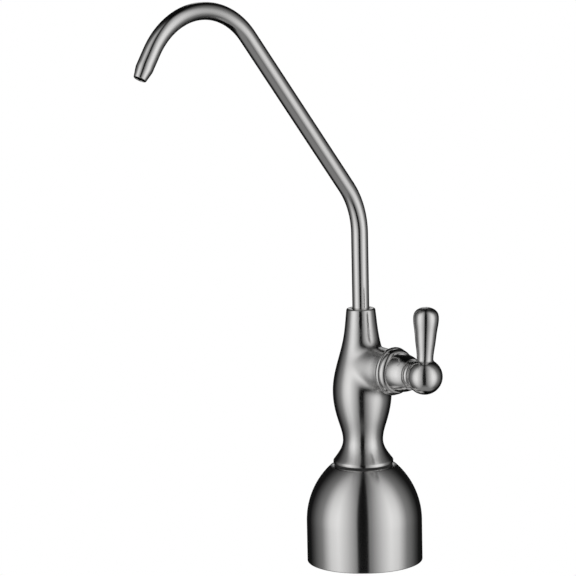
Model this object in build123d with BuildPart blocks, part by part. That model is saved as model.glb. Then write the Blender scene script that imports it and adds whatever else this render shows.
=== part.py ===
from build123d import *
import math
import os

# Drinking water filter tap for a sink deck. A bell base carries a vase-shaped
# body, a long gooseneck spout turns in the neck of the body, and a quarter-turn
# disc valve sits in the side port behind a ball and lever.
# Millimetres. The origin is on the tap's axis, level with the face that rests
# on the deck. +Z is up, the spout points to -Y and the valve to +X.

# Clearances and small finishing sizes
running_gap = 0.06  # radial gap round a shaft that turns in its bore
seat_gap = 0.05  # radial gap round a piece that is pushed or screwed in
moving_gap = 0.3  # gap between faces that turn past each other
film_gap = 0.02  # water film between the lapped valve discs
ring_gap = 0.03  # gap between a seal ring and the walls it bears on
overrun = 1.0  # how far a cut runs past the face it leaves
edge_break = 0.3  # rounding or bevel on a machined edge

# Bell base, spun from sheet
bell_radius = 27.6
bell_wall = 1.2
bell_height = 47.3
bell_skirt_height = 20.0
bell_crown_width = 1.54  # flat shoulder beyond the body's foot, where the dome begins
bell_rim_lift = 0.4  # gap that the deck gasket keeps open under the rim
bell_rim_round = 0.5
bell_top_round = 0.8

# Base plate pressed into the foot of the bell, and the gasket in its groove
plate_thickness = 2.6
plate_lift = 1.2
plate_hub_radius = 9.0
plate_hub_height = 9.0
plate_rib_count = 6
plate_rib_thickness = 1.6
plate_rib_height = 4.0
gasket_rim = 1.35  # of the plate, outside the gasket's groove
gasket_width = 7.5
gasket_groove_depth = 0.9

# Cast body: foot, waist, belly, shoulder and neck
foot_gasket_thickness = 0.8
foot_gasket_inset = 0.35
foot_radius = 14.3
foot_lip_round = 0.45  # rounds both edges of the foot
foot_band_height = 0.6  # straight side left between the two rounds
spigot_radius = 8.0
spigot_length = 3.2
waist_radius = 9.84
waist_rise = 9.0
flank_radius = 11.87
flank_rise = 21.3
belly_radius = 13.83
belly_rise = 38.3
shoulder_radius = 11.57
shoulder_rise = 48.9
neck_radius = 8.67
neck_rise = 59.9
lip_radius = 6.8
neck_length = 27.8  # top of the neck above the valve axis
foot_direction = (-0.6, 0.8)  # way the outline leaves the foot
neck_direction = (-0.12, 0.99)  # way it ends at the top of the neck
lip_round = 1.0
mouth_round = 0.45

# Side port of the body
valve_rise = 46.9  # valve axis above the underside of the foot
port_reach = 22.7  # port face from the tap's axis
port_root_radius = 11.5  # at the tap's axis, from where the port narrows
port_flank_radius = 10.4
port_flank_reach = 11.0
port_radius = 9.8  # just behind the bead
port_bead_width = 2.6
port_bead_height = 1.65
port_blend = 3.2
bore_radius = 6.2
seat_reach = 0.2  # valve seat from the tap's axis
port_thread_step = 0.75  # of the thread beyond the bore

# Water ways drilled in the body
inlet_way_radius = 2.4
outlet_way_radius = 1.6
outlet_way_inset = 0.16  # from the wall of the spout socket

# Spout: one tube, bent twice in one plane and drawn down at its mouth
tube_radius = 4.0
tube_wall = 0.8
riser_length = 35.6
lower_bend_radius = 36.8
lower_bend_angle = 38.8
slope_length = 95.2
arch_radius = 34.7
arch_angle = 109.1
mouth_length = 8.6
taper_length = 5.0
tip_radius = 2.95
tip_round = 0.3

# Spout foot: a machined ferrule brazed into the tube, seals and snap ring
socket_floor_wall = 2.0  # between the valve bore and the spout socket
ferrule_length = 10.4
ferrule_wall = 0.85
ferrule_spigot_length = 5.0
spout_ring_section = 1.08
spout_ring_groove_width = 1.3
spout_ring_rise = 2.1
spout_ring_pitch = 2.8
snap_ring_setback = 2.4  # below the foot of the tube
snap_ring_height = 0.8
snap_ring_float = 0.12  # play of the ring above and below in its groove
snap_ring_bite = 0.44  # of the ring into the wall of the socket
snap_groove_depth = 0.65
snap_ring_opening = 3.0

# Threaded shank and the pieces that clamp it under the deck
shank_radius = 5.55
shank_bore_radius = 2.4
shank_engagement = 10.0
shank_reach = 52.0  # shank's end below the deck face
shank_chamfer = 0.8
inlet_socket_radius = 3.25
inlet_socket_depth = 14.0
inlet_lead_in = 0.5
deck_thickness = 20.0
washer_hole_gap = 0.2
rubber_washer_radius = 16.0
rubber_washer_thickness = 3.0
steel_washer_radius = 14.5
steel_washer_thickness = 1.2
lock_washer_radius = 9.6
lock_washer_thickness = 0.9
lock_washer_teeth = 16
lock_washer_tooth_depth = 1.4
nut_across_flats = 17.5
nut_height = 6.0

# Disc valve cartridge, measured outwards along the valve axis
water_gap = 0.8  # round the sleeve, for the water on its way out
sleeve_wall = 1.0
sleeve_lift = 0.3  # gap that the seat seal keeps open under the sleeve
seat_seal_thickness = 1.6
disc_thickness = 2.4
disc_key_width = 1.6
disc_port_radius = 2.45
disc_port_width = 1.5
disc_port_sweep = 66.0
drive_slot_depth = 0.8
window_length = 3.3
window_width = 4.6
spindle_head_thickness = 1.4
thrust_washer_thickness = 0.5
cartridge_ring_section = 0.95
cartridge_ring_groove_width = 1.2
cartridge_hex_thickness = 3.0
cartridge_nose_radius = 5.4
cartridge_nose_length = 5.7
spindle_radius = 2.75
spindle_flat_height = 1.9
spindle_tongue_thickness = 1.8
spindle_tongue_inset = 0.9
spindle_ring_section = 0.9
spindle_ring_groove_width = 1.1
spindle_ring_inset = 5.0
spindle_ring_pitch = 3.0
clip_thickness = 0.6
clip_height = 1.25  # above the spindle
clip_groove_depth = 0.55
clip_opening = 3.4

# Bonnet: a turned cover with a bead at its foot and a collar at its nose
bonnet_bead_radius = 10.75
bonnet_bead_width = 2.5
bonnet_rim_radius = 9.95  # where the bead ends and the cove begins
bonnet_cove_depth = 0.12  # below a straight cone
bonnet_cove_width = 2.6
bonnet_foot_radius = 9.0
bonnet_wall = 1.15  # at the corners of the cartridge's hexagon
bonnet_nose_radius = 7.25
bonnet_bulge = 0.45  # of the barrel beyond a straight cone
bonnet_length = 13.6
bonnet_collar_width = 2.4
bonnet_collar_radius = 6.35
bonnet_collar_root = 6.0
bonnet_collar_front = 5.3

# Ball, lever arm and grub screw
ball_radius = 8.4
ball_offset = 5.5  # ball's centre beyond its back face
ball_bore_depth = 8.0
arm_base_radius = 3.85
arm_cove = 0.45  # hollow corner where the arm flares out onto the ball
arm_middle_radius = 4.6
arm_middle_rise = 15.4
arm_flank_radius = 5.38
arm_flank_rise = 22.0
arm_shoulder_radius = 5.97
arm_shoulder_rise = 27.4
arm_crown_radius = 5.3
arm_crown_rise = 30.2
arm_height = 32.6
arm_lean = 3.0  # degrees that the shut lever leans back from upright
arm_stud_radius = 2.0
arm_stud_floor = 1.3  # of the ball, between the stud's end and the spindle's flat
arm_stud_clear = 0.4
grub_screw_radius = 1.5
grub_screw_length = 4.5
grub_socket_flats = 1.5
grub_socket_depth = 1.6

# Heights worked out from the stack of pieces on the deck
foot_height = bell_height + foot_gasket_thickness
valve_height = foot_height + valve_rise
neck_top = valve_height + neck_length
riser_top = neck_top + riser_length
socket_floor = valve_height + bore_radius + socket_floor_wall
socket_radius = tube_radius + running_gap
snap_ring_radius = socket_radius + snap_ring_bite
ferrule_base = socket_floor + moving_gap
tube_foot = ferrule_base + ferrule_length
snap_ring_base = tube_foot - snap_ring_setback
snap_groove_base = snap_ring_base - snap_ring_float
shank_top = foot_height + shank_engagement
shank_end = -shank_reach

# Radii round the valve axis, from the bore inwards
port_thread_radius = bore_radius + port_thread_step
sleeve_radius = bore_radius - water_gap
cavity_radius = sleeve_radius - sleeve_wall
port_edge_radius = disc_port_radius + disc_port_width / 2
seat_chamber_radius = port_edge_radius + seat_gap
clip_radius = spindle_radius + clip_height
hex_corner_radius = bonnet_rim_radius - bonnet_wall - 2 * seat_gap

# Stations along the valve axis, from the tap's axis
port_thread_share = 0.324  # of the valve bore's length that is threaded
bore_depth = port_reach - seat_reach
seat_x = seat_reach
fixed_disc_x = seat_x + seat_seal_thickness
moving_disc_x = fixed_disc_x + disc_thickness + film_gap
moving_disc_end = moving_disc_x + disc_thickness
window_x = moving_disc_end + edge_break
head_x = window_x + window_length + edge_break
thrust_x = head_x + spindle_head_thickness
cavity_end = thrust_x + thrust_washer_thickness
port_thread_depth = bore_depth * port_thread_share
thread_x = port_reach - port_thread_depth
hex_end = port_reach + cartridge_hex_thickness
nose_end = hex_end + cartridge_nose_length
clip_x = nose_end + 2 * seat_gap
clip_end = clip_x + clip_thickness
bonnet_end = port_reach + bonnet_length
ball_back = bonnet_end + moving_gap
ball_x = ball_back + ball_offset
spindle_end = ball_back + ball_bore_depth - moving_gap

valve_axis = Axis((0, 0, valve_height), (1, 0, 0))
# Turned valve pieces are drawn with x along the valve axis and y as the radius.
valve_plane = Plane(origin=(0, 0, valve_height), x_dir=(1, 0, 0), z_dir=(0, -1, 0))
arm_up = Vector(0, 0, 1).rotate(Axis.X, -arm_lean)
arm_seat_plane = Plane(origin=(ball_x, 0, valve_height), x_dir=(1, 0, 0), z_dir=arm_up)
arm_plane = Plane(origin=(ball_x, 0, valve_height), x_dir=(1, 0, 0), z_dir=Vector(1, 0, 0).cross(arm_up))
arm_axis = Axis((ball_x, 0, valve_height), arm_up)


def across_valve(x):
    """Plane square to the valve axis at station x, its x along +Y and its y up."""
    return Plane(origin=(x, 0, valve_height), x_dir=(0, 1, 0), z_dir=(1, 0, 0))


# Bell base: a dome that springs from a straight skirt, with one even wall
dome_height = bell_height - bell_skirt_height
dome_depth = bell_radius - foot_radius - bell_crown_width
bell_dome_radius = (dome_height**2 + dome_depth**2) / (2 * dome_depth)
dome_angle = math.degrees(math.asin(dome_height / bell_dome_radius))
inner_radius = bell_radius - bell_wall
inner_dome_radius = bell_dome_radius - bell_wall
inner_top = bell_height - bell_wall
inner_angle = math.degrees(math.asin((inner_top - bell_skirt_height) / inner_dome_radius))
bell_hole_radius = spigot_radius + seat_gap
with BuildPart() as base_bell:
    with BuildSketch(Plane.XZ):
        with BuildLine():
            skirt = Line((bell_radius, bell_rim_lift), (bell_radius, bell_skirt_height))
            dome = JernArc(skirt @ 1, (0, 1), bell_dome_radius, dome_angle)
            liner = Line((inner_radius, bell_rim_lift), (inner_radius, bell_skirt_height))
            inside = JernArc(liner @ 1, (0, 1), inner_dome_radius, inner_angle)
            Polyline(dome @ 1, (bell_hole_radius, bell_height), (bell_hole_radius, inner_top), inside @ 1)
            Line(liner @ 0, skirt @ 0)
        make_face()
    revolve(axis=Axis.Z)
    rim_edges = base_bell.edges().filter_by(GeomType.CIRCLE).group_by(Axis.Z)[0]
    fillet(rim_edges, bell_rim_round)
    top_edges = base_bell.edges().filter_by(GeomType.CIRCLE).group_by(Axis.Z)[-1]
    fillet(top_edges.sort_by(SortBy.RADIUS)[-1], bell_top_round)
base_bell.part.label = "base_bell"

# Base plate: a disc with a hub round the shank, ribs and a gasket groove
plate_radius = inner_radius - seat_gap
gasket_outer_radius = plate_radius - gasket_rim
gasket_inner_radius = gasket_outer_radius - gasket_width
plate_hole_radius = shank_radius + washer_hole_gap
plate_top = plate_lift + plate_thickness
with BuildPart() as base_plate:
    with BuildSketch(Plane.XY.offset(plate_lift)):
        Circle(plate_radius)
    extrude(amount=plate_thickness)
    with BuildSketch(Plane.XY.offset(plate_top)):
        Circle(plate_hub_radius)
    extrude(amount=plate_hub_height)
    with BuildSketch(Plane.XY.offset(plate_top)):
        with PolarLocations(plate_radius / 2, plate_rib_count):
            Rectangle(plate_radius - 2 * edge_break, plate_rib_thickness)
    extrude(amount=plate_rib_height)
    with BuildSketch(Plane.XY.offset(plate_lift)):
        Circle(gasket_outer_radius + seat_gap)
        Circle(gasket_inner_radius - seat_gap, mode=Mode.SUBTRACT)
    extrude(amount=gasket_groove_depth, mode=Mode.SUBTRACT)
    with BuildSketch(Plane.XY.offset(plate_lift - overrun)):
        Circle(plate_hole_radius)
    extrude(amount=plate_thickness + plate_hub_height + 2 * overrun, mode=Mode.SUBTRACT)
    hub_rim = base_plate.edges().filter_by(GeomType.CIRCLE).group_by(Axis.Z)[-1]
    chamfer(hub_rim, edge_break)
base_plate.part.label = "base_plate"

# Deck gasket: the ring that the whole tap rests on
with BuildPart() as deck_gasket:
    with BuildSketch():
        Circle(gasket_outer_radius)
        Circle(gasket_inner_radius, mode=Mode.SUBTRACT)
    extrude(amount=plate_lift + gasket_groove_depth)
deck_gasket.part.label = "deck_gasket"

# Foot gasket: the thin dark line between the bell and the body
with BuildPart() as foot_gasket:
    with BuildSketch(Plane.XY.offset(bell_height)):
        Circle(foot_radius - foot_gasket_inset)
        Circle(spigot_radius + seat_gap, mode=Mode.SUBTRACT)
    extrude(amount=foot_gasket_thickness)
foot_gasket.part.label = "foot_gasket"

# Cast body: a turned vase with a side port, blended where they meet
bead_start = port_reach - port_bead_width
bead_top = port_radius + port_bead_height
bead_crest_share = 0.55  # where the bead is highest, of its width
bead_face_share = 0.65  # where the port face meets the bead, of its height
bead_crest = (bead_start + port_bead_width * bead_crest_share, bead_top)
port_face = (port_reach, port_radius + port_bead_height * bead_face_share)
lip_edge = (foot_radius, foot_height + 2 * foot_lip_round + foot_band_height)
inlet_way_offset = shank_radius + seat_gap - edge_break - inlet_way_radius
outlet_way_offset = socket_radius - outlet_way_inset - outlet_way_radius
chamber_end = -inlet_way_offset - inlet_way_radius - edge_break
with BuildPart() as tap_body:
    with BuildSketch(Plane.YZ):
        with BuildLine():
            flare = Spline(
                lip_edge,
                (waist_radius, foot_height + waist_rise),
                (flank_radius, foot_height + flank_rise),
                (belly_radius, foot_height + belly_rise),
                (shoulder_radius, foot_height + shoulder_rise),
                (neck_radius, foot_height + neck_rise),
                (lip_radius, neck_top),
                tangents=(foot_direction, neck_direction),
                tangent_scalars=(1, 1),
            )
            Polyline(flare @ 1, (0, neck_top), (0, foot_height), (foot_radius, foot_height), flare @ 0)
        make_face()
    revolve(axis=Axis.Z)
    with BuildSketch(valve_plane):
        with BuildLine():
            taper = Spline(
                (0, port_root_radius),
                (port_flank_reach, port_flank_radius),
                (bead_start, port_radius),
            )
            bead = ThreePointArc(taper @ 1, bead_crest, port_face)
            Polyline(bead @ 1, (port_reach, 0), (0, 0), taper @ 0)
        make_face()
    revolve(axis=valve_axis)
    port_root = tap_body.edges().filter_by(GeomType.BSPLINE).filter_by(lambda edge: edge.is_closed)
    fillet(port_root, port_blend)
    fillet(tap_body.edges().filter_by(GeomType.CIRCLE).sort_by(SortBy.RADIUS)[-2:], foot_lip_round)
    fillet(tap_body.edges().filter_by(GeomType.CIRCLE).sort_by(Axis.Z)[-1], lip_round)
    # spigot that centres the bell, and the socket that the shank screws into
    with BuildSketch(Plane.XY.offset(foot_height)):
        Circle(spigot_radius)
    extrude(amount=-spigot_length)
    with BuildSketch(Plane.XY.offset(foot_height - spigot_length - overrun)):
        Circle(shank_radius + seat_gap)
    extrude(amount=spigot_length + overrun + shank_engagement + inlet_way_radius, mode=Mode.SUBTRACT)
    # water in: a drilling beside the axis, up to the chamber behind the valve seat
    with BuildSketch(Plane.XY.offset(shank_top)):
        with Locations((-inlet_way_offset, 0)):
            Circle(inlet_way_radius)
    extrude(amount=valve_height - shank_top, mode=Mode.SUBTRACT)
    with BuildSketch(across_valve(seat_x + overrun)):
        Circle(seat_chamber_radius)
    extrude(amount=chamber_end - seat_x - overrun, mode=Mode.SUBTRACT)
    # valve bore and the thread that holds the cartridge
    with BuildSketch(across_valve(seat_x)):
        Circle(bore_radius)
    extrude(amount=bore_depth + overrun, mode=Mode.SUBTRACT)
    with BuildSketch(across_valve(thread_x)):
        Circle(port_thread_radius)
    extrude(amount=port_thread_depth + overrun, mode=Mode.SUBTRACT)
    # water out: a short drilling from the valve bore up into the spout socket
    with BuildSketch(Plane.XY.offset(valve_height + sleeve_radius)):
        with Locations((outlet_way_offset, 0)):
            Circle(outlet_way_radius)
    extrude(amount=socket_floor - valve_height - sleeve_radius + overrun, mode=Mode.SUBTRACT)
    # spout socket with the groove that the snap ring springs into
    with BuildSketch(Plane.XY.offset(socket_floor)):
        Circle(socket_radius)
    extrude(amount=neck_top - socket_floor + overrun, mode=Mode.SUBTRACT)
    with BuildSketch(Plane.XY.offset(snap_groove_base)):
        Circle(snap_ring_radius + seat_gap)
    extrude(amount=snap_ring_height + 2 * snap_ring_float, mode=Mode.SUBTRACT)
    mouth_rims = tap_body.edges().filter_by(GeomType.CIRCLE).group_by(Axis.Z)[-1]
    fillet(mouth_rims.sort_by(SortBy.RADIUS)[0], mouth_round)
tap_body.part.label = "tap_body"

# Spout tube: riser, lower bend, slope, arch and a drawn-down mouth
tube_bore_radius = tube_radius - tube_wall
with BuildPart() as spout_tube:
    with BuildLine(Plane.YZ) as spout_route:
        riser = Line((0, tube_foot), (0, riser_top))
        lower_bend = JernArc(riser @ 1, riser % 1, lower_bend_radius, lower_bend_angle)
        slope = PolarLine(lower_bend @ 1, slope_length, direction=lower_bend % 1)
        arch = JernArc(slope @ 1, slope % 1, arch_radius, arch_angle)
        mouth = PolarLine(arch @ 1, mouth_length, direction=arch % 1)
    with BuildSketch(Plane.XY.offset(tube_foot)):
        Circle(tube_radius)
        Circle(tube_bore_radius, mode=Mode.SUBTRACT)
    sweep(path=spout_route.wires()[0])
    taper_axis = Axis(mouth @ 1, mouth % 1)
    taper_plane = Plane(origin=mouth @ 1, x_dir=(1, 0, 0), z_dir=Vector(1, 0, 0).cross(mouth % 1))
    with BuildSketch(taper_plane):
        with BuildLine():
            Polyline(
                (tube_bore_radius, 0),
                (tube_radius, 0),
                (tip_radius, taper_length),
                (tip_radius - tube_wall, taper_length),
                close=True,
            )
        make_face()
    revolve(axis=taper_axis)
    tip_centre = mouth @ 1 + (mouth % 1) * taper_length
    tip_rims = spout_tube.edges().filter_by(GeomType.CIRCLE).sort_by_distance(tip_centre)[:2]
    fillet(tip_rims, tip_round)
spout_tube.part.label = "spout_tube"

# Spout ferrule: turned brass, brazed into the tube, grooved for its seals and snap ring
spout_ring_root = socket_radius - spout_ring_section - 2 * ring_gap
spout_ring_heights = [ferrule_base + spout_ring_rise + turn * spout_ring_pitch for turn in range(2)]
ferrule_spigot_radius = tube_bore_radius - seat_gap
ferrule_bore_radius = ferrule_spigot_radius - ferrule_wall
ferrule_top = tube_foot + ferrule_spigot_length
with BuildPart() as spout_ferrule:
    with BuildSketch(Plane.XZ):
        with BuildLine():
            Polyline(
                (ferrule_bore_radius, ferrule_base),
                (tube_radius - edge_break, ferrule_base),
                (tube_radius, ferrule_base + edge_break),
                (tube_radius, tube_foot),
                (ferrule_spigot_radius, tube_foot),
                (ferrule_spigot_radius, ferrule_top),
                (ferrule_bore_radius, ferrule_top),
                close=True,
            )
        make_face()
        for ring_height in spout_ring_heights:
            with Locations((tube_radius, ring_height)):
                Rectangle(2 * (tube_radius - spout_ring_root), spout_ring_groove_width, mode=Mode.SUBTRACT)
        with Locations((tube_radius, snap_ring_base + snap_ring_height / 2)):
            Rectangle(2 * snap_groove_depth, snap_ring_height + 2 * snap_ring_float, mode=Mode.SUBTRACT)
    revolve(axis=Axis.Z)
spout_ferrule.part.label = "spout_ferrule"

# Seal rings on the ferrule
with BuildPart() as spout_o_rings:
    for ring_height in spout_ring_heights:
        with Locations((0, 0, ring_height)):
            Torus(spout_ring_root + ring_gap + spout_ring_section / 2, spout_ring_section / 2)
spout_o_rings.part.label = "spout_o_rings"

# Snap ring that keeps the spout in the neck and lets it turn
with BuildPart() as spout_snap_ring:
    with BuildSketch(Plane.XY.offset(snap_ring_base)):
        Circle(snap_ring_radius)
        Circle(tube_radius - snap_groove_depth + running_gap, mode=Mode.SUBTRACT)
        with Locations((0, snap_ring_radius)):
            Rectangle(snap_ring_opening, snap_ring_radius, mode=Mode.SUBTRACT)
    extrude(amount=snap_ring_height)
spout_snap_ring.part.label = "spout_snap_ring"

# Threaded shank: screwed into the body, with the inlet socket at its lower end
with BuildPart() as threaded_shank:
    with BuildSketch(Plane.XY.offset(shank_end)):
        Circle(shank_radius)
    extrude(amount=shank_top - shank_end)
    chamfer(threaded_shank.edges().filter_by(GeomType.CIRCLE), shank_chamfer)
    with BuildSketch(Plane.XY.offset(shank_end - overrun)):
        Circle(shank_bore_radius)
    extrude(amount=shank_top - shank_end + 2 * overrun, mode=Mode.SUBTRACT)
    with BuildSketch(Plane.XY.offset(shank_end - overrun)):
        Circle(inlet_socket_radius)
    extrude(amount=inlet_socket_depth + overrun, mode=Mode.SUBTRACT)
    shank_rims = threaded_shank.edges().filter_by(GeomType.CIRCLE).group_by(Axis.Z)[0]
    chamfer(shank_rims.sort_by(SortBy.RADIUS)[0], inlet_lead_in)
threaded_shank.part.label = "threaded_shank"

# Washers and lock nut that clamp the shank under the deck
clamp_hole_radius = shank_radius + washer_hole_gap
rubber_washer_base = -deck_thickness - rubber_washer_thickness
steel_washer_base = rubber_washer_base - steel_washer_thickness
lock_washer_base = steel_washer_base - lock_washer_thickness
nut_base = lock_washer_base - nut_height


def washer_ring(base, radius, thickness):
    """Flat ring round the shank, from base upwards."""
    with BuildPart() as ring:
        with BuildSketch(Plane.XY.offset(base)):
            Circle(radius)
            Circle(clamp_hole_radius, mode=Mode.SUBTRACT)
        extrude(amount=thickness)
        outer_rims = ring.edges().filter_by(GeomType.CIRCLE).sort_by(SortBy.RADIUS)[-2:]
        chamfer(outer_rims, edge_break)
    return ring


rubber_washer = washer_ring(rubber_washer_base, rubber_washer_radius, rubber_washer_thickness)
rubber_washer.part.label = "rubber_washer"
steel_washer = washer_ring(steel_washer_base, steel_washer_radius, steel_washer_thickness)
steel_washer.part.label = "steel_washer"

with BuildPart() as lock_washer:
    with BuildSketch(Plane.XY.offset(lock_washer_base)):
        Circle(lock_washer_radius)
        Circle(clamp_hole_radius, mode=Mode.SUBTRACT)
        with PolarLocations(lock_washer_radius, lock_washer_teeth):
            RegularPolygon(lock_washer_tooth_depth, 3, rotation=180, mode=Mode.SUBTRACT)
    extrude(amount=lock_washer_thickness)
lock_washer.part.label = "lock_washer"

nut_corner_radius = nut_across_flats / 2 / math.cos(math.pi / 6)
nut_bevel = (nut_corner_radius - nut_across_flats / 2) * math.tan(math.pi / 6)
with BuildPart() as lock_nut:
    with BuildSketch(Plane.XY.offset(nut_base)):
        RegularPolygon(nut_across_flats / 2, 6, major_radius=False)
        Circle(shank_radius + seat_gap, mode=Mode.SUBTRACT)
    extrude(amount=nut_height)
    with BuildSketch(Plane.XZ):
        with BuildLine():
            Polyline(
                (0, nut_base),
                (nut_across_flats / 2, nut_base),
                (nut_corner_radius, nut_base + nut_bevel),
                (nut_corner_radius, nut_base + nut_height - nut_bevel),
                (nut_across_flats / 2, nut_base + nut_height),
                (0, nut_base + nut_height),
                close=True,
            )
        make_face()
    revolve(axis=Axis.Z, mode=Mode.INTERSECT)
lock_nut.part.label = "lock_nut"

# Cartridge body: sleeve round the discs, sealing land, thread, hexagon and nose
sleeve_x = seat_x + sleeve_lift
land_x = head_x + edge_break
land_radius = bore_radius - seat_gap
cartridge_thread_radius = port_thread_radius - seat_gap
cartridge_ring_x = (land_x + thread_x) / 2
cartridge_ring_root = bore_radius - cartridge_ring_section - 2 * ring_gap
spindle_bore_radius = spindle_radius + running_gap
cartridge_thread_x = thread_x + moving_gap
fixed_disc_end = fixed_disc_x + disc_thickness
with BuildPart() as cartridge_body:
    with BuildSketch(valve_plane):
        with BuildLine():
            Polyline(
                (sleeve_x, cavity_radius),
                (sleeve_x, sleeve_radius),
                (land_x, sleeve_radius),
                (land_x, land_radius),
                (cartridge_thread_x, land_radius),
                (cartridge_thread_x, cartridge_thread_radius),
                (port_reach, cartridge_thread_radius),
                (port_reach, cartridge_nose_radius),
                (nose_end, cartridge_nose_radius),
                (nose_end, spindle_bore_radius),
                (cavity_end, spindle_bore_radius),
                (cavity_end, cavity_radius),
                close=True,
            )
        make_face()
        with Locations((cartridge_ring_x, land_radius)):
            groove_depth = land_radius - cartridge_ring_root
            Rectangle(cartridge_ring_groove_width, 2 * groove_depth, mode=Mode.SUBTRACT)
    revolve(axis=valve_axis)
    with BuildSketch(across_valve(port_reach)):
        RegularPolygon(hex_corner_radius, 6)
        Circle(spindle_bore_radius, mode=Mode.SUBTRACT)
    extrude(amount=cartridge_hex_thickness)
    with BuildSketch(across_valve(window_x)):
        Rectangle(2 * bore_radius, window_width)
    extrude(amount=window_length, mode=Mode.SUBTRACT)
    with BuildSketch(across_valve(sleeve_x - overrun)):
        Rectangle(disc_key_width + 2 * seat_gap, 2 * bore_radius)
    extrude(amount=fixed_disc_end - sleeve_x + overrun, mode=Mode.SUBTRACT)
cartridge_body.part.label = "cartridge_body"

# Seal ring on the cartridge's land
with BuildPart() as cartridge_o_ring:
    with Locations(across_valve(cartridge_ring_x)):
        Torus(cartridge_ring_root + ring_gap + cartridge_ring_section / 2, cartridge_ring_section / 2)
cartridge_o_ring.part.label = "cartridge_o_ring"

# Seat seal between the body and the fixed disc
disc_radius = cavity_radius - seat_gap
with BuildPart() as seat_seal:
    with BuildSketch(across_valve(seat_x)):
        Circle(disc_radius)
        Circle(seat_chamber_radius, mode=Mode.SUBTRACT)
    extrude(amount=seat_seal_thickness)
seat_seal.part.label = "seat_seal"

# Fixed disc: keyed in the sleeve, with a pair of kidney ports level with the axis
port_arc = CenterArc((0, 0), disc_port_radius, -disc_port_sweep / 2, disc_port_sweep)
with BuildPart() as fixed_disc:
    with BuildSketch(across_valve(fixed_disc_x)):
        Circle(disc_radius)
        Rectangle(disc_key_width, 2 * (sleeve_radius - edge_break))
        with PolarLocations(0, 2):
            SlotArc(port_arc, disc_port_width, mode=Mode.SUBTRACT)
    extrude(amount=disc_thickness)
fixed_disc.part.label = "fixed_disc"

# Moving disc: its ports stand a quarter turn away from the fixed ones when shut
moving_disc_radius = cavity_radius - running_gap
tongue_width = 2 * (cavity_radius - spindle_tongue_inset)
slot_width = spindle_tongue_thickness + 2 * seat_gap
with BuildPart() as moving_disc:
    with BuildSketch(across_valve(moving_disc_x)):
        Circle(moving_disc_radius)
        with PolarLocations(0, 2, start_angle=90):
            SlotArc(port_arc, disc_port_width, mode=Mode.SUBTRACT)
    extrude(amount=disc_thickness)
    with BuildSketch(across_valve(moving_disc_end - drive_slot_depth)):
        Rectangle(tongue_width + 2 * seat_gap, slot_width)
    extrude(amount=drive_slot_depth + overrun, mode=Mode.SUBTRACT)
moving_disc.part.label = "moving_disc"

# Thrust washer between the spindle's head and the cartridge's shoulder
with BuildPart() as thrust_washer:
    with BuildSketch(across_valve(thrust_x)):
        Circle(cavity_radius - seat_gap)
        Circle(spindle_bore_radius, mode=Mode.SUBTRACT)
    extrude(amount=thrust_washer_thickness)
thrust_washer.part.label = "thrust_washer"

# Spindle: tongue, head, ringed shaft, clip groove and a two-flat end
spindle_ring_root = spindle_radius - spindle_ring_section - ring_gap
spindle_ring_stations = [cavity_end + spindle_ring_inset + turn * spindle_ring_pitch for turn in range(2)]
tongue_x = moving_disc_end - drive_slot_depth + seat_gap
clip_groove_width = clip_thickness + 2 * seat_gap
with BuildPart() as spindle:
    with BuildSketch(valve_plane):
        with BuildLine():
            Polyline(
                (head_x, 0),
                (head_x, cavity_radius - running_gap),
                (thrust_x, cavity_radius - running_gap),
                (thrust_x, spindle_radius),
                (spindle_end - edge_break, spindle_radius),
                (spindle_end, spindle_radius - edge_break),
                (spindle_end, 0),
                close=True,
            )
        make_face()
        for ring_x in spindle_ring_stations:
            with Locations((ring_x, spindle_radius)):
                groove_depth = spindle_radius - spindle_ring_root
                Rectangle(spindle_ring_groove_width, 2 * groove_depth, mode=Mode.SUBTRACT)
        with Locations((clip_x + clip_thickness / 2, spindle_radius)):
            Rectangle(clip_groove_width, 2 * clip_groove_depth, mode=Mode.SUBTRACT)
    revolve(axis=valve_axis)
    with BuildSketch(across_valve(tongue_x)):
        Rectangle(tongue_width, spindle_tongue_thickness)
    extrude(amount=head_x - tongue_x)
    with BuildSketch(across_valve(ball_back)):
        Circle(spindle_radius + overrun)
        Rectangle(2 * (spindle_radius + overrun), 2 * spindle_flat_height, mode=Mode.SUBTRACT)
    extrude(amount=spindle_end - ball_back + overrun, mode=Mode.SUBTRACT)
spindle.part.label = "spindle"

# Seal rings on the spindle
with BuildPart() as spindle_o_rings:
    for ring_x in spindle_ring_stations:
        with Locations(across_valve(ring_x)):
            Torus(spindle_ring_root + ring_gap + spindle_ring_section / 2, spindle_ring_section / 2)
spindle_o_rings.part.label = "spindle_o_rings"

# Clip that stops the spindle from being pushed in
with BuildPart() as spindle_clip:
    with BuildSketch(across_valve(clip_x)):
        Circle(clip_radius)
        Circle(spindle_radius - clip_groove_depth + seat_gap, mode=Mode.SUBTRACT)
        with Locations((-clip_radius, 0)):
            Rectangle(clip_radius, clip_opening, mode=Mode.SUBTRACT)
    extrude(amount=clip_thickness)
spindle_clip.part.label = "spindle_clip"

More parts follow.
